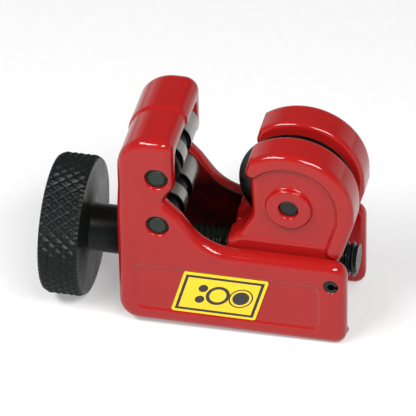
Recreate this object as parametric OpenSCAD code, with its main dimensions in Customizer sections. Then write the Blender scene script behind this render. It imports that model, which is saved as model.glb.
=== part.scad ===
// Mini pipe cutter: a die-cast frame with two rollers, and a slide that a feed screw draws along
// the frame's channel, carrying a cutting wheel between two guard plates.
// Lengths are millimetres. The origin is the centre of the frame's bottom face: +X runs along the
// feed screw from the knob to the open end, +Y to the back, +Z up.

/* [Frame] */
// Length of the frame along the feed screw
frame_l = 38.7; // [32:0.1:60]
// Width of the frame over both side walls
frame_w = 20.1; // [16:0.1:30]
// Thickness of each side wall
side_wall = 3; // [2.4:0.1:3.8]
// Thickness of the channel's floor
floor_t = 3; // [2:0.1:4]
// Height of the side walls along the channel
wall_h = 16.2; // [14:0.1:17]
// Thickness of the end wall that carries the feed screw
end_wall = 3; // [2.4:0.1:4]
// Thickness of the roof over the upper roller
roof_t = 3.75; // [2:0.05:5]
// How far the floor stops short of the frame's open end
floor_setback = 3.5; // [2:0.1:6]
// Depth of the recessed panel on each side
panel_depth = 0.3; // [0.1:0.05:0.6]
// Width of the border around the panel, at the knob end and below
panel_border = 3; // [2:0.1:4]
// Width of the border between the panel and the open end
panel_end = 4.6; // [3:0.1:7]
// Width of the border above the panel
panel_top = 4.4; // [3:0.1:5]

/* [Rollers] */
// Diameter of a roller
roller_d = 6.8; // [5.6:0.1:8.4]
// Distance between the two rollers' axes
roller_pitch = 9.6; // [9:0.1:12]
// Diameter of a roller's pin
roller_pin_d = 3.8; // [3:0.1:4.6]
// How far a roller stands proud of the frame's mouth
roller_reach = 0.3; // [0.2:0.02:1]
// Width of the groove that the wheel's edge enters
groove_w = 2.2; // [1.8:0.1:3]
// Depth of the grooves in a roller
groove_depth = 0.55; // [0.5:0.05:0.8]
// Width of the second groove, for cutting close to a flare
flare_w = 2.1; // [1:0.1:3]
// Width of the land outside the flare groove
flare_land = 0.5; // [0.3:0.1:1]

/* [Cutting wheel] */
// Diameter of the cutting wheel
wheel_d = 19.7; // [16:0.1:24]
// Thickness of the wheel's hub
hub_t = 3.2; // [2.4:0.1:4]
// Diameter of the wheel's hub
hub_d = 8; // [6:0.1:10]
// Thickness of the wheel's disc
disc_t = 1.8; // [1.2:0.1:2.4]
// Depth of the ground bevel at the wheel's edge
bevel = 2.4; // [1.5:0.1:3.5]
// Diameter of the screw that the wheel turns on
axle_d = 3.3; // [2.6:0.1:4]

/* [Slide] */
// Space between the wheel's edge and the outside of the guard plates
guard_margin = 1; // [0.4:0.1:2]
// Width of the raised rim around each guard plate
rim_w = 2.9; // [2:0.1:3.2]
// Height of the rim and the boss above the plate
rim_rise = 1; // [0.5:0.1:1.4]
// Angle of the rim's upper end, from the open end over the top
rim_angle = 131; // [120:1:145]
// Gap between the rollers and the wheel's edge in the stored position
jaw_at_rest = 8.34; // [8:0.1:14]
// Slide travel from the stored position until the jaw is closed
close_travel = 9.4; // [6:0.1:9.4]
// Slide travel from the stored position until the stop pin ends it
open_travel = 6.5; // [3:0.1:7]
// How far the slide's base stops short of the frame's open end
tail_setback = 2.7; // [2:0.1:4]
// Metal between the feed screw and the slot that the wheel turns in
bridge_t = 1.2; // [1.2:0.05:3]

/* [Feed screw] */
// Diameter of the feed screw over its thread
screw_d = 6; // [5:0.1:7.5]
// Height of the feed screw's axis above the frame's bottom face
screw_z = 10.9; // [10:0.1:12]
// How far the feed screw stands out of the frame's open end
screw_out = 0.3; // [0:0.1:3]
// Thickness of the retaining ring
ring_t = 0.7; // [0.5:0.1:1]
// Thickness of the thrust washer
washer_t = 0.5; // [0.3:0.1:1]

/* [Knob] */
// Diameter of the knob
knob_d = 24; // [18:0.5:34]
// Thickness of the knob
knob_t = 6.75; // [5:0.05:10]
// Length of the knob's stem
stem_l = 6.45; // [3:0.05:10]
// Wall of the stem around the feed screw
stem_wall = 1.1; // [0.8:0.1:3]

/* [Stop pin and label] */
// Diameter of the slotted stop pin
stop_d = 2.4; // [1.6:0.1:3]
// Distance from the stop pin to the frame's open end
stop_in = 2.45; // [2:0.05:4]
// Height of the stop pin above the feed screw's axis
stop_up = 1.25; // [0:0.05:1.5]
// Length of the label along its lower edge
label_l = 14.4; // [8:0.1:20]
// Thickness of the label
label_t = 0.2; // [0.1:0.05:0.3]

/* [Fits] */
// Radial clearance of a shaft that turns in a hole
run_gap = 0.05; // [0.02:0.01:0.1]
// Clearance at each end of a piece that turns
end_gap = 0.05; // [0.03:0.01:0.1]
// Clearance on each side of the slide in the channel
slide_gap = 0.12; // [0.05:0.01:0.2]
// Clearance between moving pieces that don't guide each other
free_gap = 0.3; // [0.2:0.05:0.6]

/* [Hidden] */

$fn = 96;
past = 1; // how far a cut runs past the face that it opens

paint_red = [0.73, 0.16, 0.15];
black_oxide = [0.13, 0.14, 0.14];
ground_steel = [0.55, 0.54, 0.52];
label_yellow = [0.98, 0.83, 0.1];

// Heights: the wheel's slot lies just over the feed screw, and the rollers straddle the wheel's axle.
jaw_z = screw_z + screw_d / 2 + bridge_t + free_gap + wheel_d / 2;
upper_z = jaw_z + roller_pitch / 2;
lower_z = jaw_z - roller_pitch / 2;

// Places along the feed screw, from the frame's closed end.
roller_space = 0.66; // between a roller and the end wall
roller_x = end_wall + roller_space + roller_d / 2;
mouth_x = roller_x + roller_d / 2 - roller_reach;
wheel_x = roller_x + roller_d / 2 + jaw_at_rest + wheel_d / 2;
stop_x = frame_l - stop_in;

// The frame's side outline.
roof_z = upper_z + roller_d / 2 + 0.5;
frame_top = roof_z + roof_t;
notch_up = 2.65; // from the jaw's middle up to the notch's mouth
notch_in = 2; // depth of the notch, whose bottom lies close to the jaw's middle
shoulder_down = 2.85; // from the jaw's middle to where the cradle's slope steepens
cradle_foot = 4.84; // from the mouth to the foot of the cradle's slope
cradle_slope = 55;
channel_half = frame_w / 2 - side_wall;

// The slide.
guard_r = wheel_d / 2 + guard_margin;
rim_in = guard_r - rim_w;
base_half = channel_half - slide_gap;
web_half = base_half - 0.23;
rim_half = web_half + rim_rise;
base_top = wall_h - 0.7;
base_bottom = floor_t + slide_gap;
nose_x = wheel_x - 10.8;
tail_x = frame_l - tail_setback;
rim_foot = wall_h + 0.25;
rear_lean = 2; // how far the rear edge leans in, down to the rim's foot
slot_half = hub_t / 2 + end_gap;
boss_r = 4;
boss_face_r = 3.65;
head_r = 2.85;
head_t = 1.4;
axle_sunk = 0.7; // from the boss's face to the end of the axle screw

// The feed screw's bearing in the end wall.
washer_x = end_wall + end_gap;
washer_r = min(screw_d / 2 + 2.4, channel_half - free_gap);
ring_x = washer_x + washer_t;
ring_groove = 0.5; // depth of the groove that the ring sits in
stop_sunk = 0.15; // from the frame's side to the stop pin's end
stop_reach = 1.25; // how far the stop pin stands into the slide's slot

function unit(v) = v / norm(v);

// Points on an arc about [x, z].
function arc(x, z, r, from, to, steps = 24) =
    [for (i = [0:steps]) let (a = from + (to - from) * i / steps) [x + r * cos(a), z + r * sin(a)]];

// The arc that rounds corner b, between its neighbours a and c.
function corner(a, b, c, r, steps = 8) =
    let (u = unit(a - b), v = unit(c - b), half = acos(u * v) / 2)
    let (centre = b + unit(u + v) * r / sin(half))
    let (p = b + u * r / tan(half) - centre, q = b + v * r / tan(half) - centre)
    let (from = atan2(p[1], p[0]), turn = (atan2(q[1], q[0]) - from + 540) % 360 - 180)
    arc(centre[0], centre[1], r, from, from + turn, steps);

// An outline of [x, z, corner radius] entries with its corners rounded.
function rounded(path) =
    let (n = len(path), p = [for (e = path) [e[0], e[1]]])
    [for (i = [0:n - 1]) each path[i][2] == 0
        ? [p[i]]
        : corner(p[(i + n - 1) % n], p[i], p[(i + 1) % n], path[i][2])];

// Points as an outline's entries with no rounding.
function sharp(points) = [for (p = points) [p[0], p[1], 0]];

module placed() translate([-frame_l / 2, 0, 0]) children();
module along_x(x, z) translate([x, 0, z]) rotate([0, 90, 0]) children();
module along_y(x, y, z) translate([x, y, z]) rotate([-90, 0, 0]) children();

// A side outline, extruded to half on each side of the middle plane.
module across(half) rotate([90, 0, 0]) linear_extrude(2 * half, center = true) children();

module frame_outline() {
    shoulder_z = jaw_z - shoulder_down;
    shoulder_x = mouth_x + cradle_foot - (shoulder_z - wall_h) / tan(cradle_slope);
    polygon(rounded([
        [0, 0, 3.5],
        [frame_l, 0, 3],
        [frame_l, wall_h, 2.75],
        [mouth_x + cradle_foot, wall_h, 8.5],
        [shoulder_x, shoulder_z, 3],
        [mouth_x - notch_in, jaw_z - 0.15, 0.6],
        [mouth_x, jaw_z + notch_up, 2],
        [mouth_x, frame_top, 2.5],
        [0, frame_top, 6.2]
    ]));
}

module panel_outline() {
    right = frame_l - panel_end;
    top = wall_h - panel_top;
    polygon(rounded([
        [panel_border, panel_border, 1],
        [right, panel_border, 1],
        [right, top, 1],
        [panel_border, top, 1]
    ]));
}

module frame() color(paint_red) placed() difference() {
    across(frame_w / 2) frame_outline();
    translate([end_wall, -channel_half, floor_t])
        cube([frame_l, 2 * channel_half, roof_z - floor_t]);
    translate([frame_l - floor_setback, -channel_half, -past])
        cube([floor_setback + past, 2 * channel_half, floor_t + 2 * past]);
    for (side = [-1, 1])
        translate([0, side * frame_w / 2, 0]) across(panel_depth) panel_outline();
    for (z = [upper_z, lower_z])
        along_y(roller_x, -frame_w / 2 - past, z) cylinder(h = frame_w + 2 * past, d = roller_pin_d);
    along_x(-past, screw_z) cylinder(h = end_wall + 2 * past, r = screw_d / 2 + run_gap);
    along_y(stop_x, -frame_w / 2 - past, screw_z + stop_up) cylinder(h = side_wall + 2 * past, d = stop_d);
}

// A pin pressed through both side walls, with broken edges.
module roller_pin(z) {
    sunk = 0.4;
    edge = 0.3;
    half = frame_w / 2 - sunk;
    r = roller_pin_d / 2;
    along_y(roller_x, 0, z) rotate_extrude()
        polygon([[0, -half], [r - edge, -half], [r, edge - half], [r, half - edge], [r - edge, half], [0, half]]);
}

module upper_roller_pin() color(black_oxide) placed() roller_pin(upper_z);
module lower_roller_pin() color(black_oxide) placed() roller_pin(lower_z);

// A roller with the wheel's groove in the middle and the flare groove at the front end.
module roller(z) {
    half = channel_half - slide_gap;
    r = roller_d / 2;
    waist = r - groove_depth;
    along_y(roller_x, 0, z) difference() {
        rotate_extrude() polygon([
            [0, -half], [r, -half],
            [r, flare_land - half], [waist, flare_land - half + groove_depth / 2],
            [waist, flare_land + flare_w - half], [r, flare_land + flare_w - half],
            [r, -groove_w / 2], [waist, -groove_w / 2],
            [waist, groove_w / 2], [r, groove_w / 2],
            [r, half], [0, half]
        ]);
        translate([0, 0, -half - past]) cylinder(h = 2 * (half + past), r = roller_pin_d / 2 + run_gap);
    }
}

module upper_roller() color(ground_steel) placed() roller(upper_z);
module lower_roller() color(ground_steel) placed() roller(lower_z);

// A slotted spring pin in the front wall, whose end stands in the slide's slot.
module stop_pin() color(black_oxide) placed() {
    length = side_wall - stop_sunk + slide_gap + stop_reach;
    along_y(stop_x, stop_sunk - frame_w / 2, screw_z + stop_up) difference() {
        cylinder(h = length, d = stop_d);
        translate([0, 0, -past]) cylinder(h = length + 2 * past, d = stop_d / 2);
        translate([0, -0.25, -past]) cube([stop_d, 0.5, length + 2 * past]);
    }
}

// A slanted label in the front panel.
module front_label() color(label_yellow) placed() {
    slant = 2.5;
    foot = panel_border + 0.15;
    head = wall_h - panel_top - 0.15;
    left = panel_border + 6;
    translate([0, panel_depth - label_t - frame_w / 2, 0]) rotate([90, 0, 0]) mirror([0, 0, 1])
        linear_extrude(label_t)
            polygon([[left, foot], [left + label_l, foot], [left + label_l + slant, head], [left + slant, head]]);
}

// The knurled knob and its stem, which thrusts on the frame's end wall.
module knob() color(black_oxide) placed() {
    edge = 0.4;
    dish = 0.6;
    dish_r = knob_d / 2 - 3;
    r = knob_d / 2;
    stem_r = screw_d / 2 + stem_wall;
    stem_top = knob_t + stem_l;
    along_x(-stem_top - end_gap, screw_z) difference() {
        rotate_extrude() polygon([
            [0, dish], [dish_r - dish, dish], [dish_r, 0], [r - edge, 0], [r, edge],
            [r, knob_t - edge], [r - edge, knob_t], [stem_r, knob_t],
            [stem_r, stem_top], [0, stem_top]
        ]);
        translate([0, 0, -past]) cylinder(h = stem_top + 2 * past, d = screw_d);
    }
}

// The feed screw, drawn as a plain rod over its thread, with the retaining ring's groove.
module feed_screw() color(black_oxide) placed() {
    edge = 0.6;
    r = screw_d / 2;
    start = -knob_t - stem_l - end_gap + 0.6;
    finish = frame_l + screw_out;
    along_x(0, screw_z) rotate_extrude() polygon([
        [0, start], [r, start],
        [r, ring_x], [r - ring_groove, ring_x], [r - ring_groove, ring_x + ring_t], [r, ring_x + ring_t],
        [r, finish - edge], [r - edge, finish], [0, finish]
    ]);
}

module thrust_washer() color(ground_steel) placed()
    along_x(washer_x, screw_z) difference() {
        cylinder(h = washer_t, r = washer_r);
        translate([0, 0, -past]) cylinder(h = washer_t + 2 * past, r = screw_d / 2 + run_gap);
    }

// An open ring snapped into the screw's groove from one side.
module screw_retaining_ring() color(black_oxide) placed()
    along_x(ring_x, screw_z) difference() {
        inner = screw_d / 2 - ring_groove;
        cylinder(h = ring_t, r = screw_d / 2 + 1.6);
        translate([0, 0, -past]) cylinder(h = ring_t + 2 * past, r = inner);
        translate([0, -inner + 0.4, -past]) cube([screw_d, 2 * inner - 0.8, ring_t + 2 * past]);
    }

// One guard plate's outline, down into the slide's base.
module plate_outline() {
    rear_x = wheel_x + guard_r - rear_lean;
    front_x = wheel_x - 6.3;
    polygon(rounded(concat(
        sharp(arc(wheel_x, jaw_z, guard_r, rim_angle, 0, 40)),
        [
            [wheel_x + guard_r, jaw_z - 2, 0],
            [rear_x, rim_foot, 0],
            [tail_x, base_top - 3, 0],
            [nose_x, base_top - 3, 0],
            [nose_x, base_top + 0.1, 0.6],
            [nose_x + 1.2, base_top + 1.2, 0.5],
            [front_x, jaw_z - 2.8, 4]
        ]
    )));
}

// The rim's outline, from its rounded lip over the top and down the rear edge to its rounded foot.
module rim_outline() {
    rear_x = wheel_x + guard_r - rear_lean;
    mid_r = guard_r - rim_w / 2;
    lean = atan(rear_lean / (jaw_z - 2 - rim_foot));
    foot_z = rim_foot + rim_w / 2;
    foot_x = rear_x + (foot_z - rim_foot) * tan(lean) - rim_w / 2 / cos(lean);
    polygon(concat(
        arc(wheel_x, jaw_z, guard_r, rim_angle, 0, 40),
        [[wheel_x + guard_r, jaw_z - 2], [foot_x + rim_w / 2 * cos(lean), foot_z - rim_w / 2 * sin(lean)]],
        [[foot_x - rim_w / 2 * cos(lean), foot_z + rim_w / 2 * sin(lean)], [wheel_x + rim_in, jaw_z - 2]],
        arc(wheel_x, jaw_z, rim_in, 0, rim_angle, 40)
    ));
    translate([wheel_x + mid_r * cos(rim_angle), jaw_z + mid_r * sin(rim_angle)]) circle(d = rim_w);
    translate([foot_x, foot_z]) circle(d = rim_w);
}

// The carriage: a base in the channel, threaded on the feed screw, and two guard plates.
module slide() color(paint_red) placed() difference() {
    slot_z = screw_z + stop_up;
    slot_r = stop_d / 2 + 0.15;
    slot_in = stop_reach + free_gap;
    union() {
        translate([nose_x, -base_half, base_bottom])
            cube([tail_x - nose_x, 2 * base_half, base_top - base_bottom]);
        across(web_half) plate_outline();
        across(rim_half) rim_outline();
        along_y(wheel_x, web_half, jaw_z) cylinder(h = rim_rise, r1 = boss_r, r2 = boss_face_r);
        along_y(wheel_x, -web_half - rim_rise, jaw_z) cylinder(h = rim_rise, r1 = boss_face_r, r2 = boss_r);
    }
    translate([nose_x - past, -slot_half, jaw_z - wheel_d / 2 - free_gap])
        cube([3 * guard_r, 2 * slot_half, wheel_d + 2 * guard_margin + past]);
    along_x(nose_x - past, screw_z) cylinder(h = tail_x - nose_x + 2 * guard_r, r = screw_d / 2 + run_gap);
    along_y(wheel_x, -rim_half - past, jaw_z) cylinder(h = 2 * (rim_half + past), d = axle_d);
    along_y(wheel_x, -rim_half, jaw_z) cylinder(h = 0.35, r1 = axle_d / 2 + 0.35, r2 = axle_d / 2);
    along_y(wheel_x, rim_half - head_t, jaw_z) cylinder(h = head_t + past, r = head_r);
    along_y(stop_x - open_travel, -base_half - past, slot_z) cylinder(h = slot_in + past, r = slot_r);
    translate([stop_x - open_travel, -base_half - past, slot_z - slot_r])
        cube([frame_l, slot_in + past, 2 * slot_r]);
}

// The screw that the wheel turns on, with its slotted head sunk in the back boss.
module wheel_axle_screw() color(black_oxide) placed() {
    sunk = 0.15;
    shank = 2 * rim_half - axle_sunk - head_t;
    edge = 0.2;
    r = axle_d / 2;
    along_y(wheel_x, axle_sunk - rim_half, jaw_z) difference() {
        rotate_extrude() polygon([
            [0, 0], [r - edge, 0], [r, edge], [r, shank],
            [head_r - 0.1, shank], [head_r - 0.1, shank + head_t - sunk - edge],
            [head_r - 0.1 - edge, shank + head_t - sunk], [0, shank + head_t - sunk]
        ]);
        translate([-head_r, -0.4, shank + head_t - sunk - 0.7]) cube([2 * head_r, 0.8, past]);
    }
}

// The hardened wheel: a hub, a thin disc and a ground bevel on both sides.
module cutter_wheel() color(black_oxide) placed() {
    r = wheel_d / 2;
    along_y(wheel_x, 0, jaw_z) difference() {
        rotate_extrude() polygon([
            [0, -hub_t / 2], [hub_d / 2, -hub_t / 2], [hub_d / 2, -disc_t / 2], [r - bevel, -disc_t / 2],
            [r, 0],
            [r - bevel, disc_t / 2], [hub_d / 2, disc_t / 2], [hub_d / 2, hub_t / 2], [0, hub_t / 2]
        ]);
        translate([0, 0, -hub_t]) cylinder(h = 2 * hub_t, r = axle_d / 2 + run_gap);
    }
}

frame();
upper_roller_pin();
lower_roller_pin();
stop_pin();
front_label();
upper_roller();
lower_roller();
knob();
feed_screw();
thrust_washer();
screw_retaining_ring();
slide();
wheel_axle_screw();
cutter_wheel();
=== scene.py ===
import math

import bmesh
import bpy
import numpy as np
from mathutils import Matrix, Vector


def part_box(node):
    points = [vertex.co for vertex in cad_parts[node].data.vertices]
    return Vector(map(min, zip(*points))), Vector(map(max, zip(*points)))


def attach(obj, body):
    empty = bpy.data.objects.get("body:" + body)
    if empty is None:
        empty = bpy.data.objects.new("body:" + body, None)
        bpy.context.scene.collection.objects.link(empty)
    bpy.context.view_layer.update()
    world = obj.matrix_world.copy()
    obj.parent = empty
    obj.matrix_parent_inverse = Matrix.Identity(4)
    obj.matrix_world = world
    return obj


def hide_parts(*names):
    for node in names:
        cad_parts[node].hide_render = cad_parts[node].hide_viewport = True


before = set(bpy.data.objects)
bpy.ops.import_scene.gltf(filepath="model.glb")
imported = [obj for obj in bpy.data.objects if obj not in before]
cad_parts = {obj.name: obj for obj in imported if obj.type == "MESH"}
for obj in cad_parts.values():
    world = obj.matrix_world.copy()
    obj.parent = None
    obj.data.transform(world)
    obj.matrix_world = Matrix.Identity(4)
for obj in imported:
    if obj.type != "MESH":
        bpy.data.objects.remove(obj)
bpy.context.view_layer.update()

import openvdb
from mathutils import Matrix, Vector

# Camera: a long lens that looks down on the tool's front, a little from its open end.
# It is rolled slightly, as a hand-held camera is.
camera_azimuth = math.radians(13.33)
camera_elevation = math.radians(37.41)
camera_roll = math.radians(1.146)
camera_distance = 0.7742
camera_aim = Vector((-0.005963, 0.000092, 0.017699))

back = Vector((
    math.sin(camera_azimuth) * math.cos(camera_elevation),
    -math.cos(camera_azimuth) * math.cos(camera_elevation),
    math.sin(camera_elevation),
))
level_right = Vector((math.cos(camera_azimuth), math.sin(camera_azimuth), 0))
right = Matrix.Rotation(-camera_roll, 3, back) @ level_right
camera_axes = Matrix((right, back.cross(right), back)).transposed().to_4x4()

camera = bpy.data.objects.new("camera", bpy.data.cameras.new("camera"))
camera.data.sensor_width = 36
camera.data.lens = 402.07
camera.matrix_world = Matrix.Translation(camera_aim + camera_distance * back) @ camera_axes
bpy.context.collection.objects.link(camera)
bpy.context.scene.camera = camera

# Lights: two soft boxes in front of the tool, at its left and right, make the strip highlights.
# A pale surround, brightest at the horizon, fills the shadows and edges the paint with white.
bpy.context.scene.view_settings.view_transform = "Standard"
box_distance = 0.4
box_elevation = math.radians(50)
box_width = 0.24
box_height = 0.095
box_power = 1.6


def soft_box(name, azimuth):
    """A rectangular light that faces the tool; its azimuth is measured from the front, to the right."""
    lamp = bpy.data.lights.new(name, "AREA")
    lamp.shape = "RECTANGLE"
    lamp.size = box_width
    lamp.size_y = box_height
    lamp.energy = box_power
    direction = Vector((
        math.sin(azimuth) * math.cos(box_elevation),
        -math.cos(azimuth) * math.cos(box_elevation),
        math.sin(box_elevation),
    ))
    lamp_object = bpy.data.objects.new(name, lamp)
    lamp_object.location = camera_aim + box_distance * direction
    lamp_object.rotation_euler = direction.to_track_quat("Z", "Y").to_euler()
    bpy.context.collection.objects.link(lamp_object)


soft_box("left_box", math.radians(-44))
soft_box("right_box", math.radians(38))

world = bpy.data.worlds.new("surround")
world.use_nodes = True
bpy.context.scene.world = world
sky = world.node_tree
direction = sky.nodes.new("ShaderNodeTexCoord")
height = sky.nodes.new("ShaderNodeSeparateXYZ")
ramp = sky.nodes.new("ShaderNodeValToRGB")
ramp.color_ramp.elements[0].position = 0.05
ramp.color_ramp.elements[0].color = (0.9, 0.9, 0.9, 1)
ramp.color_ramp.elements[1].position = 0.4
ramp.color_ramp.elements[1].color = (0.18, 0.18, 0.18, 1)
sky.links.new(direction.outputs["Generated"], height.inputs["Vector"])
sky.links.new(height.outputs["Z"], ramp.inputs["Fac"])
sky.links.new(ramp.outputs["Color"], sky.nodes["Background"].inputs["Color"])

# Floor: a white sheet, lit a little from below. The knob's rim stands below the frame, so the tool
# leans on the rim and on the far edge of the frame's bottom, and the sheet is drawn at that slope.
floor_half = 1.2
rim_in = 0.00615
toe_in = 0.003
knob_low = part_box("knob")[0]
frame_low, frame_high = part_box("frame")
rim_x = knob_low[0] + rim_in
edge_x = frame_high[0] - toe_in
floor_slope = (frame_low[2] - knob_low[2]) / (edge_x - rim_x)


def floor_height(x):
    """Height of the sheet under a place along the tool."""
    return knob_low[2] - 0.00001 + floor_slope * (x - rim_x)


def calc(tree, operation, *values):
    """A math node; each value is a number or an output socket."""
    math_node = tree.nodes.new("ShaderNodeMath")
    math_node.operation = operation
    for socket, value in zip(math_node.inputs, values):
        if isinstance(value, (int, float)):
            socket.default_value = value
        else:
            tree.links.new(value, socket)
    return math_node.outputs[0]


def noise(tree, scale, detail=2.0, stretch=(1, 1, 1)):
    """Noise on the object's own coordinates, in features per metre."""
    place = tree.nodes.new("ShaderNodeTexCoord")
    mapping = tree.nodes.new("ShaderNodeMapping")
    mapping.inputs["Scale"].default_value = stretch
    texture = tree.nodes.new("ShaderNodeTexNoise")
    texture.inputs["Scale"].default_value = scale
    texture.inputs["Detail"].default_value = detail
    tree.links.new(place.outputs["Object"], mapping.inputs["Vector"])
    tree.links.new(mapping.outputs["Vector"], texture.inputs["Vector"])
    return texture.outputs["Fac"]


def between(tree, factor, low, high):
    """Maps noise around its middle, 0.3 to 0.7, to a range of numbers."""
    spread = tree.nodes.new("ShaderNodeMapRange")
    spread.inputs["From Min"].default_value = 0.3
    spread.inputs["From Max"].default_value = 0.7
    spread.inputs["To Min"].default_value = low
    spread.inputs["To Max"].default_value = high
    tree.links.new(factor, spread.inputs["Value"])
    return spread.outputs["Result"]


def tint(tree, factor, first, second):
    """Blends two colours, each an RGB triple or a colour output."""
    mix = tree.nodes.new("ShaderNodeMix")
    mix.data_type = "RGBA"
    tree.links.new(factor, mix.inputs["Factor"])
    for socket, colour in zip((mix.inputs[6], mix.inputs[7]), (first, second)):
        if isinstance(colour, tuple):
            socket.default_value = (*colour, 1)
        else:
            tree.links.new(colour, socket)
    return mix.outputs[2]


def raised(tree, shader, height, distance, strength=1.0):
    """Bumps a surface; distance is the height in metres of a full step in the input."""
    bump = tree.nodes.new("ShaderNodeBump")
    bump.inputs["Distance"].default_value = distance
    bump.inputs["Strength"].default_value = strength
    tree.links.new(height, bump.inputs["Height"])
    tree.links.new(bump.outputs["Normal"], shader.inputs["Normal"])


def new_material(name, metallic=0.0, roughness=0.5):
    """A material with a principled shader, returned with its node tree and its shader."""
    made = bpy.data.materials.new(name)
    made.use_nodes = True
    shader = made.node_tree.nodes["Principled BSDF"]
    shader.inputs["Metallic"].default_value = metallic
    shader.inputs["Roughness"].default_value = roughness
    return made, made.node_tree, shader


def add_piece(name, mesh, made, body=None):
    """Links a mesh as an object at the origin, with its material and body."""
    piece = bpy.data.objects.new(name, mesh)
    bpy.context.collection.objects.link(piece)
    mesh.materials.clear()
    mesh.materials.append(made)
    if body:
        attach(piece, body)
    return piece


paper, tree, shader = new_material("white_sheet", roughness=0.7)
white = tint(tree, noise(tree, 900, 4), (0.48, 0.48, 0.48), (0.52, 0.52, 0.52))
tree.links.new(white, shader.inputs["Base Color"])
shader.inputs["Emission Color"].default_value = (1, 1, 1, 1)
shader.inputs["Emission Strength"].default_value = 0.32
corners = [(-floor_half, -floor_half), (floor_half, -floor_half)]
corners += [(floor_half, floor_half), (-floor_half, floor_half)]
sheet = bpy.data.meshes.new("floor")
sheet.from_pydata([(x, y, floor_height(x)) for x, y in corners], [], [(0, 1, 2, 3)])
add_piece("floor", sheet, paper)

# Frame: a zinc die casting in two mould halves, finished in glossy red enamel.
# The back half of the housing over the rollers stands a little proud of the front half.
# Painted shade darkens the inside of the channel, most low down and nearer the closed end.
# Lengths in this section are millimetres, and x runs from the frame's closed end.
frame_x = frame_low[0]
outer_round = 1.6
inner_round = 0.8
hole_round = 0.2
half_step = 0.3
frame_l = 38.7
frame_top = 37.7
half_w = 10.05
wall_h = 16.2
end_wall = 3
channel_half = 7.05
channel_foot = 3
channel_half_h = 15.475
floor_end = 35.2
panel_half_w = 9.75
pin_x = 7.06
pin_hole_r = 1.9
upper_pin_z = 30.05
lower_pin_z = 20.45
screw_axis_z = 10.9
screw_hole_r = 3.05
stop_x = 36.25
stop_z = 12.15
stop_hole_r = 1.2
frame_cell = 0.26
frame_path = [
    (0, 0, 3.5), (frame_l, 0, 2), (frame_l, wall_h, 2.5), (15, wall_h, 8.5), (10.66, 22.4, 3),
    (8.16, 25.1, 0.6), (10.16, 27.9, 2), (10.16, frame_top, 2.5), (0, frame_top, 6.2),
]
panel_path = [(3, 3, 1.2), (34.1, 3, 1.2), (34.1, 11.8, 1.2), (3, 11.8, 1.2)]


def rounded(path, steps=10):
    """The points of a closed outline whose entries are x, z and the corner's radius."""
    points = []
    for i, (x, z, radius) in enumerate(path):
        corner = Vector((x, z))
        if radius == 0:
            points.append((x, z))
            continue
        before = (Vector(path[i - 1][:2]) - corner).normalized()
        after = (Vector(path[(i + 1) % len(path)][:2]) - corner).normalized()
        half = before.angle(after) / 2
        centre = corner + (before + after).normalized() * radius / math.sin(half)
        start = corner + before * radius / math.tan(half) - centre
        end = corner + after * radius / math.tan(half) - centre
        first = math.atan2(start.y, start.x)
        turn = (math.atan2(end.y, end.x) - first + math.pi) % math.tau - math.pi
        for step in range(steps + 1):
            angle = first + turn * step / steps
            points.append((centre.x + radius * math.cos(angle), centre.y + radius * math.sin(angle)))
    return points


def outline_distance(points, x, z):
    """Distance from an outline in the x-z plane, negative inside it, the same at every y."""
    x = x[:, 0, :]
    z = z[0, :, :]
    nearest = np.full((x.shape[0], z.shape[1]), 1e9)
    inside = np.zeros(nearest.shape, bool)
    for (ax, az), (bx, bz) in zip(points, points[1:] + points[:1]):
        run, rise = bx - ax, bz - az
        along = np.clip(((x - ax) * run + (z - az) * rise) / (run * run + rise * rise), 0, 1)
        nearest = np.minimum(nearest, (x - ax - along * run) ** 2 + (z - az - along * rise) ** 2)
        if rise:
            inside ^= ((az > z) != (bz > z)) & (x < ax + (z - az) * run / rise)
    return (np.where(inside, -1, 1) * np.sqrt(nearest))[:, None, :]


def both(a, b, r):
    """What lies in both shapes, with edges of radius r."""
    return np.minimum(np.maximum(a, b), -r) + np.hypot(np.maximum(a + r, 0), np.maximum(b + r, 0))


def either(a, b, r):
    """What lies in either shape, with fillets of radius r."""
    return -both(-a, -b, r)


def less(a, b, r):
    """The first shape less the second, with edges of radius r."""
    return both(a, -b, r)


def axis_grid(low, high, cell):
    """Places along the three axes for a distance field that covers a box with room to spare."""
    ranges = [np.arange(a - 4 * cell, b + 4 * cell, cell) for a, b in zip(low, high)]
    return ranges[0][:, None, None], ranges[1][None, :, None], ranges[2][None, None, :]


def casting(name, distance, x, y, z, offset):
    """The smooth surface where a distance field in millimetres is zero, as a mesh in metres."""
    cell = float(x[1, 0, 0] - x[0, 0, 0])
    field = openvdb.FloatGrid(3 * cell)
    field.copyFromArray(np.clip(distance, -3 * cell, 3 * cell).astype(np.float32))
    points, quads = field.convertToQuads(isovalue=0)
    corner = np.array((x[0, 0, 0], y[0, 0, 0], z[0, 0, 0]))
    mesh = bpy.data.meshes.new(name)
    mesh.from_pydata((points * cell + corner) / 1000 + np.array((offset, 0, 0)), [], quads)
    mesh.shade_smooth()
    return mesh


x, y, z = axis_grid((0, -half_w, 0), (frame_l, half_w, frame_top), frame_cell)
front_half = np.clip(0.5 - y / 0.3, 0, 1) * np.clip((z - 22) / 5, 0, 1)
outline = outline_distance(rounded(frame_path), x, z) + half_step * front_half
body = both(outline, np.abs(y) - half_w, outer_round)
between_walls = np.abs(y) - channel_half
above_floor = np.abs(z - (channel_foot + channel_half_h)) - channel_half_h
channel = both(both(end_wall - x, between_walls, 0.8), above_floor, 0.8)
body = less(body, channel, inner_round)
open_end = both(floor_end - x, both(between_walls, z - (channel_foot + 0.5), 0.1), 0.8)
body = less(body, open_end, inner_round)
panel = outline_distance(rounded(panel_path), x, z)
body = less(body, both(panel, panel_half_w - np.abs(y), 0.15), 0.2)
for hole_z in (upper_pin_z, lower_pin_z):
    body = less(body, np.hypot(x - pin_x, z - hole_z) - pin_hole_r, hole_round)
screw_hole = both(np.hypot(y, z - screw_axis_z) - screw_hole_r, x - (end_wall + 2), 0.1)
body = less(body, screw_hole, 0.25)
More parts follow.
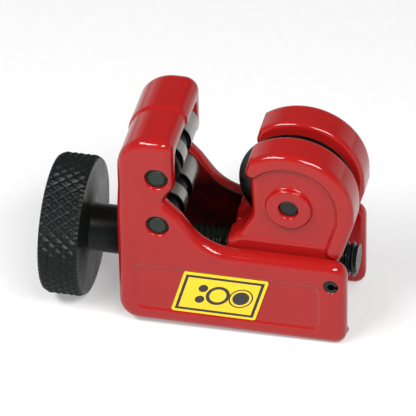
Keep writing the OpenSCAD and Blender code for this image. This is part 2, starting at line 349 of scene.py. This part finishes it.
stop_hole = both(np.hypot(x - stop_x, z - stop_z) - stop_hole_r, y, 0.1)
body = less(body, stop_hole, 0.2)
gate_stub = np.sqrt((x - 38.5) ** 2 + (y + 7.7) ** 2 + (z - 2) ** 2 / 2) - 0.45
body = either(body, gate_stub, 0.15)


def enamel(name):
    """Glossy red enamel with a faint orange-peel surface."""
    made, tree, shader = new_material(name)
    red = tint(tree, noise(tree, 160, 3), (0.262, 0.0060, 0.0055), (0.292, 0.0072, 0.0066))
    tree.links.new(red, shader.inputs["Base Color"])
    tree.links.new(between(tree, noise(tree, 420, 3), 0.05, 0.09), shader.inputs["Roughness"])
    shader.inputs["Specular IOR Level"].default_value = 0.38
    raised(tree, shader, noise(tree, 1100, 2), 0.00002, 0.4)
    return made, tree, shader, red


frame_paint, tree, shader, red = enamel("frame_enamel")
# Painted shade for the channel's inside: a mask that darkens the red lower down, nearer the closed end and
# between the walls.
place = tree.nodes.new("ShaderNodeTexCoord")
parts = tree.nodes.new("ShaderNodeSeparateXYZ")
tree.links.new(place.outputs["Object"], parts.inputs["Vector"])
depth = tree.nodes.new("ShaderNodeMapRange")
depth.inputs["From Min"].default_value = 0.028
depth.inputs["From Max"].default_value = 0.017
tree.links.new(parts.outputs["Z"], depth.inputs["Value"])
reach = tree.nodes.new("ShaderNodeMapRange")
reach.inputs["From Min"].default_value = 0.013
reach.inputs["From Max"].default_value = 0.003
tree.links.new(parts.outputs["X"], reach.inputs["Value"])
within = calc(tree, "COMPARE", parts.outputs["Y"], 0, 0.0072)
within = calc(tree, "MULTIPLY", within, calc(tree, "GREATER_THAN", parts.outputs["Z"], 0.0025))
within = calc(tree, "MULTIPLY", within, calc(tree, "GREATER_THAN", parts.outputs["X"], frame_x + 0.002))
painted_shade = calc(tree, "MULTIPLY", depth.outputs["Result"], reach.outputs["Result"])
painted_shade = calc(tree, "MULTIPLY", painted_shade, within)
painted_shade = calc(tree, "MULTIPLY", painted_shade, between(tree, noise(tree, 260, 4), 0.8, 0.97))
tree.links.new(tint(tree, painted_shade, red, (0.006, 0.002, 0.003)), shader.inputs["Base Color"])

frame_piece = add_piece(
    "frame_casting", casting("frame_casting", body, x, y, z, frame_x), frame_paint, "frame")
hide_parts("frame")

# Roller pins: black-oxide steel pins with splined ends, pressed through both side walls.
# Their dark ends are coned and lie just below the paint, and the splines stand up round the cone.
pin_r = 0.0019
spline_depth = 0.00024
spline_count = 20
pin_half = 0.00965
pin_end_r = 0.00138
pin_cone = 0.00035
spline_l = 0.003
roller_x = frame_x + pin_x / 1000
roller_heights = {"upper": upper_pin_z / 1000, "lower": lower_pin_z / 1000}


def lathe(name, profile, centre, axis="Y", sides=96, sharp=35):
    """Turns a profile of (distance along the axis, radius) pairs about an axis through a centre.
    The profile's ends lie on the axis, or its last point meets its first."""
    work = bmesh.new()
    closed = profile[0][1] > 0
    rings = []
    for along, radius in profile:
        if radius == 0:
            rings.append([work.verts.new((0, along, 0))] * sides)
            continue
        angles = [math.tau * k / sides for k in range(sides)]
        rings.append([work.verts.new((radius * math.cos(t), along, radius * math.sin(t))) for t in angles])
    pairs = list(zip(rings, rings[1:])) + ([(rings[-1], rings[0])] if closed else [])
    for near, far in pairs:
        for k in range(sides):
            ring = [near[k], near[(k + 1) % sides], far[(k + 1) % sides], far[k]]
            work.faces.new(list(dict.fromkeys(ring)))
    if axis == "X":
        bmesh.ops.rotate(work, verts=work.verts, matrix=Matrix.Rotation(-math.pi / 2, 3, "Z"))
    bmesh.ops.translate(work, verts=work.verts, vec=centre)
    bmesh.ops.recalc_face_normals(work, faces=work.faces)
    mesh = bpy.data.meshes.new(name)
    work.to_mesh(mesh)
    work.free()
    mesh.shade_smooth()
    mesh.set_sharp_from_angle(angle=math.radians(sharp))
    return mesh


def node_tree(name, inputs):
    """An empty geometry-node tree with a geometry input, and named inputs of (name, type)."""
    tree = bpy.data.node_groups.new(name, "GeometryNodeTree")
    tree.interface.new_socket("Geometry", in_out="INPUT", socket_type="NodeSocketGeometry")
    tree.interface.new_socket("Geometry", in_out="OUTPUT", socket_type="NodeSocketGeometry")
    for label, kind in inputs:
        tree.interface.new_socket(label, in_out="INPUT", socket_type="NodeSocket" + kind)
    return tree, tree.nodes.new("NodeGroupInput"), tree.nodes.new("NodeGroupOutput")


def grow(name, mesh, tree, values, sharp=35):
    """Runs a geometry-node tree on a mesh with the given inputs and returns the plain mesh."""
    holder = bpy.data.objects.new(name, mesh)
    bpy.context.collection.objects.link(holder)
    modifier = holder.modifiers.new(name, "NODES")
    modifier.node_group = tree
    for item in tree.interface.items_tree:
        if item.in_out == "INPUT" and item.name in values:
            modifier[item.identifier] = values[item.name]
    evaluated = holder.evaluated_get(bpy.context.evaluated_depsgraph_get())
    grown = bpy.data.meshes.new_from_object(evaluated)
    grown.name = name
    bpy.data.objects.remove(holder)
    grown.shade_smooth()
    grown.set_sharp_from_angle(angle=math.radians(sharp))
    return grown


def spline_tree():
    """Sets a tapered tooth round a pin at each of its ends."""
    tree, given, result = node_tree("splined_ends", [
        ("Teeth", "Int"), ("Core", "Float"), ("Depth", "Float"), ("Half length", "Float"),
        ("Spline length", "Float"), ("Centre", "Vector"), ("Material", "Material")])
    link = tree.links.new
    parts = tree.nodes.new("GeometryNodeJoinGeometry")
    for end in (-1, 1):
        ring = tree.nodes.new("GeometryNodeMeshCircle")
        link(given.outputs["Teeth"], ring.inputs["Vertices"])
        ring.inputs["Radius"].default_value = 1
        turned = tree.nodes.new("GeometryNodeTransform")
        turned.inputs["Rotation"].default_value = (math.pi / 2, 0, 0)
        place = tree.nodes.new("ShaderNodeCombineXYZ")
        inward = calc(tree, "MULTIPLY", given.outputs["Spline length"], 0.5)
        mid = calc(tree, "SUBTRACT", given.outputs["Half length"], inward)
        link(calc(tree, "MULTIPLY", mid, end), place.inputs["Y"])
        size = tree.nodes.new("ShaderNodeCombineXYZ")
        for letter in "XYZ":
            link(given.outputs["Core"], size.inputs[letter])
        link(ring.outputs["Mesh"], turned.inputs["Geometry"])
        link(place.outputs["Vector"], turned.inputs["Translation"])
        link(size.outputs["Vector"], turned.inputs["Scale"])
        tooth = tree.nodes.new("GeometryNodeMeshCylinder")
        tooth.inputs["Vertices"].default_value = 3
        link(given.outputs["Depth"], tooth.inputs["Radius"])
        link(given.outputs["Spline length"], tooth.inputs["Depth"])
        # A three-sided bar lies along the pin, with one edge outward.
        laid = tree.nodes.new("GeometryNodeTransform")
        laid.inputs["Rotation"].default_value = (math.pi / 2, 0, 0)
        link(tooth.outputs["Mesh"], laid.inputs["Geometry"])
        outward = tree.nodes.new("FunctionNodeAlignRotationToVector")
        outward.axis = "X"
        outward.pivot_axis = "Y"
        position = tree.nodes.new("GeometryNodeInputPosition")
        link(position.outputs["Position"], outward.inputs["Vector"])
        copies = tree.nodes.new("GeometryNodeInstanceOnPoints")
        link(turned.outputs["Geometry"], copies.inputs["Points"])
        link(laid.outputs["Geometry"], copies.inputs["Instance"])
        link(outward.outputs["Rotation"], copies.inputs["Rotation"])
        link(copies.outputs["Instances"], parts.inputs["Geometry"])
    moved = tree.nodes.new("GeometryNodeTransform")
    link(parts.outputs["Geometry"], moved.inputs["Geometry"])
    link(given.outputs["Centre"], moved.inputs["Translation"])
    whole = tree.nodes.new("GeometryNodeJoinGeometry")
    link(moved.outputs["Geometry"], whole.inputs["Geometry"])
    link(given.outputs["Geometry"], whole.inputs["Geometry"])
    real = tree.nodes.new("GeometryNodeRealizeInstances")
    link(whole.outputs["Geometry"], real.inputs["Geometry"])
    dressed = tree.nodes.new("GeometryNodeSetMaterial")
    link(real.outputs["Geometry"], dressed.inputs["Geometry"])
    link(given.outputs["Material"], dressed.inputs["Material"])
    link(dressed.outputs["Geometry"], result.inputs["Geometry"])
    return tree


pin_oxide, tree, shader = new_material("pin_oxide", metallic=1.0)
grain = noise(tree, 2500, 4)
oxide = tint(tree, grain, (0.026, 0.031, 0.027), (0.062, 0.070, 0.060))
tree.links.new(oxide, shader.inputs["Base Color"])
tree.links.new(between(tree, noise(tree, 900, 3), 0.38, 0.55), shader.inputs["Roughness"])
raised(tree, shader, grain, 0.00002, 0.6)

splines = spline_tree()
for level, pin_z in roller_heights.items():
    centre = Vector((roller_x, 0, pin_z))
    core_r = pin_r - spline_depth
    core = lathe(level + "_pin_core", [
        (-pin_half, 0), (-pin_half, pin_end_r), (-pin_half + pin_cone, core_r),
        (pin_half - pin_cone, core_r), (pin_half, pin_end_r), (pin_half, 0)], centre, sides=60)
    core.materials.append(pin_oxide)
    pin = add_piece(level + "_pin", grow(level + "_pin", core, splines, {
        "Teeth": spline_count, "Core": core_r, "Depth": spline_depth, "Half length": pin_half - 0.0001,
        "Spline length": spline_l, "Centre": centre, "Material": pin_oxide}), pin_oxide, "frame")
    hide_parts(level + "_roller_pin")

# Stop pin: a slotted spring pin of black-oxide steel, driven into the front wall.
# Its inner end stands in the slide's slot and ends the slide's travel. It keeps its CAD mesh.
deep_oxide, tree, shader = new_material("deep_oxide", metallic=1.0)
oxide = tint(tree, noise(tree, 1800, 4), (0.018, 0.020, 0.020), (0.050, 0.052, 0.050))
tree.links.new(oxide, shader.inputs["Base Color"])
tree.links.new(between(tree, noise(tree, 900, 3), 0.25, 0.40), shader.inputs["Roughness"])
raised(tree, shader, noise(tree, 3000, 3), 0.00001, 0.6)
stop_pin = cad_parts["stop_pin"]
stop_pin.data.materials.clear()
stop_pin.data.materials.append(deep_oxide)

# Label: a slanted film printed yellow with a black border, stuck in the front panel.
# Its pictogram shows a pipe between two rollers and a cutting wheel.
label_front = 0.00995
label_back = 0.00976
label_foot = 0.00315
label_head = 0.01165
label_slant = 0.0025
label_left = frame_x + 0.009
label_l = 0.0144
label_mid_x = label_left + (label_l + label_slant) / 2
label_mid_z = (label_foot + label_head) / 2
lean = label_slant / (label_head - label_foot)
border_inset = 0.0005
border_w = 0.0005

label_round = 0.0004
ring = rounded([
    (label_left, label_foot, label_round), (label_left + label_l, label_foot, label_round),
    (label_left + label_l + label_slant, label_head, label_round),
    (label_left + label_slant, label_head, label_round),
])
rings = []
for depth, shrink in ((label_back, 1.0), (label_front - 0.00004, 1.0), (label_front, 0.994)):
    rings.append([
        (label_mid_x + (px - label_mid_x) * shrink, -depth, label_mid_z + (pz - label_mid_z) * shrink)
        for px, pz in ring])
count = len(ring)
faces = [tuple(range(2 * count, 3 * count)), tuple(reversed(range(count)))]
for step in (0, count):
    for k in range(count):
        after = (k + 1) % count
        faces.append((step + k, step + after, step + count + after, step + count + k))
film = bpy.data.meshes.new("label_film")
film.from_pydata(sum(rings, []), [], faces)
film.shade_smooth()
film.set_sharp_from_angle(angle=math.radians(30))

label_print, tree, shader = new_material("label_print", roughness=0.22)
place = tree.nodes.new("ShaderNodeTexCoord")
parts = tree.nodes.new("ShaderNodeSeparateXYZ")
tree.links.new(place.outputs["Object"], parts.inputs["Vector"])
rise = calc(tree, "SUBTRACT", parts.outputs["Z"], label_mid_z)
run = calc(tree, "SUBTRACT", parts.outputs["X"], label_mid_x)
run = calc(tree, "SUBTRACT", run, calc(tree, "MULTIPLY", rise, lean))
side_in = calc(tree, "SUBTRACT", label_l / 2, calc(tree, "ABSOLUTE", run))
side_in = calc(tree, "MULTIPLY", side_in, math.cos(math.atan(lean)))
edge_in = calc(tree, "SUBTRACT", (label_head - label_foot) / 2, calc(tree, "ABSOLUTE", rise))
inset = calc(tree, "MINIMUM", side_in, edge_in)
ink = calc(tree, "COMPARE", inset, border_inset + border_w / 2, border_w / 2)


def ink_ring(tree, x, z, radius, width):
    """Ink on a ring of the label, about a place measured from the label's middle."""
    across = calc(tree, "SUBTRACT", run, x)
    up = calc(tree, "SUBTRACT", rise, z)
    squares = calc(tree, "ADD", calc(tree, "MULTIPLY", across, across), calc(tree, "MULTIPLY", up, up))
    return calc(tree, "COMPARE", calc(tree, "SQRT", squares), radius, width / 2)


for x, z, radius, width in (
        (-0.0003, 0, 0.0017, 0.0006), (-0.0031, 0.0012, 0.0004, 0.0008),
        (-0.0031, -0.0012, 0.0004, 0.0008), (0.0036, 0, 0.0007, 0.0014),
        (0.0036, 0, 0.0019, 0.00025)):
    ink = calc(tree, "MAXIMUM", ink, ink_ring(tree, x, z, radius, width))
fade = noise(tree, 900, 3)
yellow = tint(tree, fade, (0.72, 0.47, 0.002), (0.78, 0.52, 0.004))
tree.links.new(tint(tree, ink, yellow, (0.012, 0.012, 0.012)), shader.inputs["Base Color"])
raised(tree, shader, noise(tree, 500, 2), 0.00001, 0.4)
label = add_piece("label_film", film, label_print, "frame")
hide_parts("front_label")

# Rollers: steel cylinders that turn on the pins. Each has a groove in the middle for the wheel's edge
# and another near the front end, for cutting close to a flare. Two lands are ground bright.
roller_r = 0.0034
roller_bore = 0.00195
roller_half = 0.00693
waist_r = 0.00285
groove_half = 0.00135
flare_start = -0.00643
flare_end = -0.00433
roller_edge = 0.00012
edge_r = roller_r - roller_edge

roller_profile = [
    (-roller_half, roller_bore), (-roller_half, edge_r), (-roller_half + roller_edge, roller_r),
    (flare_start, roller_r), (flare_start + 0.000275, waist_r), (flare_end, waist_r),
    (flare_end, edge_r), (flare_end + roller_edge, roller_r),
    (-groove_half - roller_edge, roller_r), (-groove_half, edge_r), (-groove_half, waist_r),
    (groove_half, waist_r), (groove_half, edge_r), (groove_half + roller_edge, roller_r),
    (roller_half - roller_edge, roller_r), (roller_half, edge_r), (roller_half, roller_bore),
]

roller_steel, tree, shader = new_material("roller_steel", metallic=1.0)
place = tree.nodes.new("ShaderNodeTexCoord")
parts = tree.nodes.new("ShaderNodeSeparateXYZ")
tree.links.new(place.outputs["Object"], parts.inputs["Vector"])
wheel_groove = calc(tree, "COMPARE", parts.outputs["Y"], 0, groove_half + roller_edge)
front_end = calc(tree, "LESS_THAN", parts.outputs["Y"], flare_end + roller_edge)
grooved = calc(tree, "MAXIMUM", wheel_groove, front_end)
turned = noise(tree, 60, 4, stretch=(1, 150, 1))
ground = tint(tree, turned, (0.30, 0.29, 0.27), (0.42, 0.41, 0.38))
tree.links.new(tint(tree, grooved, ground, (0.016, 0.018, 0.018)), shader.inputs["Base Color"])
tree.links.new(between(tree, noise(tree, 700, 3), 0.26, 0.40), shader.inputs["Roughness"])
raised(tree, shader, turned, 0.000008, 0.6)

for level, pin_z in roller_heights.items():
    turned_mesh = lathe(level + "_roller_turned", roller_profile, Vector((roller_x, 0, pin_z)))
    roller = add_piece(
        level + "_roller_turned", turned_mesh, roller_steel, level + "_roller")
    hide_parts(level + "_roller")

# Knob: a black-oxide steel disc with a diamond knurl round its rim and a plain stem.
# It is pressed on the feed screw's end, and its stem thrusts on the frame's closed end.
screw_z = screw_axis_z / 1000
knob_r = 0.012
knob_t = 0.00675
knob_left = frame_x - 0.01325
stem_r = 0.0041
stem_end = frame_x - 0.00005
stem_edge = 0.0003
knurl_round = 42
knurl_pitch = 0.00225
knurl_depth = 0.00045
knob_chamfer = 0.0005
face_dish = 0.0006
dish_r = 0.009


def relief_tree(name, wave):
    """Lowers a lathed surface about the screw's axis to a pattern between a crest and a root radius.
    wave(tree, given, along, turns) returns the pattern's height, from 0 at the root to 1 at the crest."""
    tree, given, result = node_tree(name, [
        ("Crest", "Float"), ("Root", "Float"), ("Pitch", "Float"), ("Starts", "Float"),
        ("Material", "Material")])
    link = tree.links.new
    position = tree.nodes.new("GeometryNodeInputPosition")
    parts = tree.nodes.new("ShaderNodeSeparateXYZ")
    link(position.outputs["Position"], parts.inputs["Vector"])
    up = calc(tree, "SUBTRACT", parts.outputs["Z"], screw_z)
    squares = calc(tree, "ADD", calc(tree, "POWER", parts.outputs["Y"], 2.0), calc(tree, "POWER", up, 2.0))
    radius = calc(tree, "SQRT", squares)
    turns = calc(tree, "DIVIDE", calc(tree, "ARCTAN2", up, parts.outputs["Y"]), math.tau)
    height = wave(tree, given, parts.outputs["X"], turns)
    depth = calc(tree, "SUBTRACT", given.outputs["Crest"], given.outputs["Root"])
    limit = calc(tree, "ADD", given.outputs["Root"], calc(tree, "MULTIPLY", depth, height))
    scale = calc(tree, "DIVIDE", calc(tree, "MINIMUM", radius, limit), calc(tree, "MAXIMUM", radius, 1e-6))
    moved = tree.nodes.new("ShaderNodeCombineXYZ")
    link(parts.outputs["X"], moved.inputs["X"])
    link(calc(tree, "MULTIPLY", parts.outputs["Y"], scale), moved.inputs["Y"])
    link(calc(tree, "ADD", calc(tree, "MULTIPLY", up, scale), screw_z), moved.inputs["Z"])
    lowered = tree.nodes.new("GeometryNodeSetPosition")
    link(given.outputs["Geometry"], lowered.inputs["Geometry"])
    link(moved.outputs["Vector"], lowered.inputs["Position"])
    real = tree.nodes.new("GeometryNodeRealizeInstances")
    dressed = tree.nodes.new("GeometryNodeSetMaterial")
    link(lowered.outputs["Geometry"], real.inputs["Geometry"])
    link(real.outputs["Geometry"], dressed.inputs["Geometry"])
    link(given.outputs["Material"], dressed.inputs["Material"])
    link(dressed.outputs["Geometry"], result.inputs["Geometry"])
    return tree


def triangle(tree, value):
    """A triangle wave of period 1, from 0 at whole numbers to 1 half-way between them."""
    saw = calc(tree, "MULTIPLY", calc(tree, "FRACT", value), 2.0)
    return calc(tree, "SUBTRACT", 1.0, calc(tree, "ABSOLUTE", calc(tree, "SUBTRACT", saw, 1.0)))


def knurl_wave(tree, given, along, turns):
    """Flat-topped diamonds between two crossing sets of grooves."""
    round_it = calc(tree, "MULTIPLY", turns, given.outputs["Starts"])
    down_it = calc(tree, "DIVIDE", along, given.outputs["Pitch"])
    rising = triangle(tree, calc(tree, "ADD", round_it, down_it))
    falling = triangle(tree, calc(tree, "SUBTRACT", round_it, down_it))
    return calc(tree, "MINIMUM", calc(tree, "MULTIPLY", calc(tree, "MINIMUM", rising, falling), 1.2), 1.0)


def even_steps(start, end, count):
    """Evenly spaced places from start to end."""
    return [start + (end - start) * k / count for k in range(count + 1)]


knob_right = knob_left + knob_t
rim_places = even_steps(knob_left + knob_chamfer, knob_right - knob_chamfer, 34)
rim_profile = [(along, knob_r) for along in rim_places]
knob_profile = [
    (knob_left + face_dish, 0), (knob_left + face_dish, dish_r - face_dish), (knob_left, dish_r),
    (knob_left, knob_r - knob_chamfer), *rim_profile,
    (knob_right, knob_r - knob_chamfer), (knob_right, stem_r + stem_edge),
    (knob_right + stem_edge, stem_r), (stem_end - stem_edge, stem_r),
    (stem_end, stem_r - stem_edge), (stem_end, 0),
]
black_oxide, tree, shader = new_material("black_oxide", metallic=0.0)
shader.inputs["Specular IOR Level"].default_value = 0.13
place = tree.nodes.new("ShaderNodeTexCoord")
parts = tree.nodes.new("ShaderNodeSeparateXYZ")
tree.links.new(place.outputs["Object"], parts.inputs["Vector"])
up = calc(tree, "SUBTRACT", parts.outputs["Z"], screw_z)
squares = calc(tree, "ADD", calc(tree, "POWER", parts.outputs["Y"], 2.0), calc(tree, "POWER", up, 2.0))
tool_marks = calc(tree, "SINE", calc(tree, "MULTIPLY", calc(tree, "SQRT", squares), 26000.0))
oxide = tint(tree, noise(tree, 700, 4), (0.0035, 0.0060, 0.0056), (0.0075, 0.0105, 0.0098))
tree.links.new(oxide, shader.inputs["Base Color"])
tree.links.new(between(tree, noise(tree, 350, 3), 0.24, 0.36), shader.inputs["Roughness"])
raised(tree, shader, tool_marks, 0.000006, 0.7)

knurl = relief_tree("diamond_knurl", knurl_wave)
knob = add_piece("knurled_knob", grow(
    "knurled_knob", lathe("knob_blank", knob_profile, Vector((0, 0, screw_z)), axis="X", sides=504),
    knurl, {
        "Crest": knob_r, "Root": knob_r - knurl_depth, "Pitch": knurl_pitch, "Starts": float(knurl_round),
        "Material": black_oxide}, sharp=50), black_oxide, "screw")
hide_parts("knob")

# Feed screw: an M6 steel screw with a right-hand thread of 1 mm pitch, black oxide and oiled.
# It turns in the frame's closed end and draws the slide along.
screw_r = 0.003
thread_root = 0.00239
thread_pitch = 0.001
screw_left = frame_x - 0.01275
screw_right = frame_x + 0.039
screw_chamfer = 0.00035
screw_edge = 0.0003
ring_at = frame_x + 0.00355
ring_t = 0.0007
ring_groove = 0.0005


def thread_wave(tree, given, along, turns):
    """A right-hand thread with flat crests and wider flat roots."""
    round_it = calc(tree, "MULTIPLY", turns, given.outputs["Starts"])
    down_it = calc(tree, "DIVIDE", along, given.outputs["Pitch"])
    ramp = triangle(tree, calc(tree, "SUBTRACT", down_it, round_it))
    flank = calc(tree, "DIVIDE", calc(tree, "SUBTRACT", ramp, 0.25), 0.62)
    return calc(tree, "MINIMUM", calc(tree, "MAXIMUM", flank, 0.0), 1.0)


shank_steps = [(along, screw_r) for along in even_steps(frame_x + 0.0002, ring_at, 30)]
thread_places = even_steps(ring_at + ring_t, screw_right - screw_chamfer, 330)
thread_steps = [(along, screw_r) for along in thread_places]
blank_profile = [
    (screw_left, 0), (screw_left, screw_r - screw_edge), (screw_left + screw_edge, screw_r), *shank_steps,
    (ring_at, screw_r - ring_groove), (ring_at + ring_t, screw_r - ring_groove), *thread_steps,
    (screw_right, screw_r - screw_chamfer), (screw_right, 0),
]
thread_oxide, tree, shader = new_material("thread_oxide", metallic=0.25)
shader.inputs["Specular IOR Level"].default_value = 0.12
oxide = tint(tree, noise(tree, 800, 4), (0.006, 0.008, 0.008), (0.015, 0.017, 0.016))
tree.links.new(oxide, shader.inputs["Base Color"])
tree.links.new(between(tree, noise(tree, 500, 3), 0.18, 0.30), shader.inputs["Roughness"])
raised(tree, shader, noise(tree, 2500, 3), 0.000008, 0.6)

thread = relief_tree("right_hand_thread", thread_wave)
feed_screw = add_piece("threaded_screw", grow(
    "threaded_screw", lathe("screw_blank", blank_profile, Vector((0, 0, screw_z)), axis="X", sides=60),
    thread, {
        "Crest": screw_r, "Root": thread_root, "Pitch": thread_pitch, "Starts": 1.0,
        "Material": thread_oxide}, sharp=50), thread_oxide, "screw")
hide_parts("feed_screw")

# Thrust washer and retaining ring: a zinc-plated washer lies against the end wall in the channel,
# and an open spring ring in the screw's groove holds it there. They keep their CAD meshes.
washer_steel, tree, shader = new_material("washer_steel", metallic=1.0)
plate = tint(tree, noise(tree, 600, 4), (0.38, 0.37, 0.35), (0.52, 0.51, 0.49))
tree.links.new(plate, shader.inputs["Base Color"])
tree.links.new(between(tree, noise(tree, 900, 3), 0.28, 0.42), shader.inputs["Roughness"])
raised(tree, shader, noise(tree, 3000, 3), 0.000008, 0.5)
for node, made in (("thrust_washer", washer_steel), ("screw_retaining_ring", thread_oxide)):
    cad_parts[node].data.materials.clear()
    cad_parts[node].data.materials.append(made)

# Slide: the second red casting, threaded on the feed screw. Its base runs in the channel,
# and two guard plates with raised rims and bosses stand at the wheel's sides.
# Lengths in this section are millimetres, and x runs from the frame's closed end.
axle_x = 28.65
jaw_z = 25.25
guard_r = 10.85
rim_r = 7.9
rim_end = math.radians(128.5)
lip_end = math.radians(136.3)
plate_half = 6.7
base_half_w = 6.93
rim_half = 7.7
nose_x = 17.85
base_half_l = 9.075
base_foot = 3.12
base_half_h = 6.19
wheel_gap_half = 1.65
wheel_gap_foot = 15.1
boss_r = 3.85
axle_hole_r = 1.65
head_r = 2.85
head_seat = 6.3
slot_end = 28.4
slot_half = 1.35
slot_floor = 5.38
slide_cell = 0.22


def arc(radius, first, last, steps=48):
    """Entries on an arc about the wheel's axle, for rounded()."""
    angles = [first + (last - first) * k / steps for k in range(steps + 1)]
    return [(axle_x + radius * math.cos(t), jaw_z + radius * math.sin(t), 0) for t in angles]


rear_edge = [(39.5, 23.25, 0), (37.5, 16.45, 0)]
plate_path = arc(guard_r, rim_end, 0) + rear_edge + [
    (36, 12.5, 0), (nose_x, 12.5, 0), (nose_x, 15.8, 0.3), (18.05, 16.8, 0.5),
    (20.3, 18.85, 3), (22.35, 22.3, 4)]
rim_path = arc(guard_r, rim_end, 0) + [
    (39.5, 23.25, 0), (37.5, 16.45, 1.3), (34.6, 16.45, 1.3), (36.6, 23.25, 0)]
rim_path += arc(rim_r, 0, lip_end) + [(20.95, 30.1, 1)]
recess_path = arc(rim_r, 0, lip_end) + [
    (14, 27.9, 0), (14, 9, 0), (42, 9, 0), (42, 16.1, 0), (34.5, 16.1, 1.3), (36.6, 23.25, 0)]
step_w = 0.9

x, y, z = axis_grid((nose_x, -rim_half, base_foot), (39.5, rim_half, 36.1), slide_cell)
recess = np.clip(0.5 - outline_distance(rounded(recess_path), x, z) / step_w, 0, 1)
recess = recess * recess * (3 - 2 * recess)
flare = 0.23 * np.clip((18.4 - z) / 0.6, 0, 1)
half_width = rim_half + (plate_half + flare - rim_half) * recess
outline = np.minimum(
    outline_distance(rounded(plate_path), x, z), outline_distance(rounded(rim_path), x, z))
plates = both(outline, np.abs(y) - half_width, 1.15)
from_axle = np.hypot(x - axle_x, z - jaw_z)
boss = both(from_axle - boss_r, np.abs(y) - rim_half, 0.4)
base_side = both(
    np.abs(x - (nose_x + base_half_l)) - base_half_l,
    np.abs(z - (base_foot + base_half_h)) - base_half_h, 0.5)
base = both(base_side, np.abs(y) - base_half_w, 0.6)
body = either(plates, boss, 0.5)
body = either(body, base, 0.2)
body = less(body, both(np.abs(y) - wheel_gap_half, wheel_gap_foot - z, 0.3), 0.7)
body = less(body, np.hypot(y, z - screw_axis_z) - screw_hole_r, 0.25)
body = less(body, from_axle - axle_hole_r, 0.3)
body = less(body, both(from_axle - head_r, head_seat - y, 0.1), 0.2)
stop_slot = both(both(np.abs(z - stop_z) - slot_half, slot_end - x, 1.3), y + slot_floor, 0.1)
body = less(body, stop_slot, 0.15)
slide_paint = enamel("slide_enamel")[0]
slide = add_piece(
    "slide_casting", casting("slide_casting", body, x, y, z, frame_x), slide_paint, "slide")
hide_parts("slide")

# Wheel's screw: a slotted black-oxide screw through both bosses, which the wheel turns on.
# It keeps its CAD mesh.
axle_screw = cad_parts["wheel_axle_screw"]
axle_screw.data.materials.clear()
axle_screw.data.materials.append(deep_oxide)

# Cutting wheel: hardened steel with a hub and a thin disc, black oxide but for the ground edge.
# It turns freely on its screw between the guard plates.
wheel_x = frame_x + axle_x / 1000
wheel_z = jaw_z / 1000
wheel_r = 0.00985
wheel_bevel = 0.0024
disc_half = 0.0009
hub_half = 0.0016
hub_r = 0.004
bore_r = 0.0017
hub_edge = 0.0002
wheel_profile = [
    (-hub_half, bore_r + hub_edge), (-hub_half, hub_r - hub_edge), (-hub_half + hub_edge, hub_r),
    (-disc_half, hub_r), (-disc_half, wheel_r - wheel_bevel), (-0.00004, wheel_r),
    (0.00004, wheel_r), (disc_half, wheel_r - wheel_bevel), (disc_half, hub_r),
    (hub_half - hub_edge, hub_r), (hub_half, hub_r - hub_edge), (hub_half, bore_r + hub_edge),
    (hub_half - hub_edge, bore_r), (-hub_half + hub_edge, bore_r),
]
wheel_steel, tree, shader = new_material("wheel_steel", metallic=1.0)
place = tree.nodes.new("ShaderNodeTexCoord")
parts = tree.nodes.new("ShaderNodeSeparateXYZ")
tree.links.new(place.outputs["Object"], parts.inputs["Vector"])
ahead = calc(tree, "SUBTRACT", parts.outputs["X"], wheel_x)
up = calc(tree, "SUBTRACT", parts.outputs["Z"], wheel_z)
squares = calc(tree, "ADD", calc(tree, "MULTIPLY", ahead, ahead), calc(tree, "MULTIPLY", up, up))
radius = calc(tree, "SQRT", squares)
ground_edge = calc(tree, "GREATER_THAN", radius, wheel_r - wheel_bevel + 0.00005)
turning_marks = calc(tree, "SINE", calc(tree, "MULTIPLY", radius, 40000.0))
oxide = tint(tree, noise(tree, 900, 4), (0.020, 0.022, 0.022), (0.038, 0.040, 0.038))
tree.links.new(tint(tree, ground_edge, oxide, (0.045, 0.046, 0.044)), shader.inputs["Base Color"])
tree.links.new(between(tree, noise(tree, 700, 3), 0.24, 0.38), shader.inputs["Roughness"])
raised(tree, shader, turning_marks, 0.000004, 0.7)
wheel = add_piece(
    "ground_wheel", lathe("ground_wheel", wheel_profile, Vector((wheel_x, 0, wheel_z)), sides=128),
    wheel_steel, "wheel")
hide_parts("cutter_wheel")
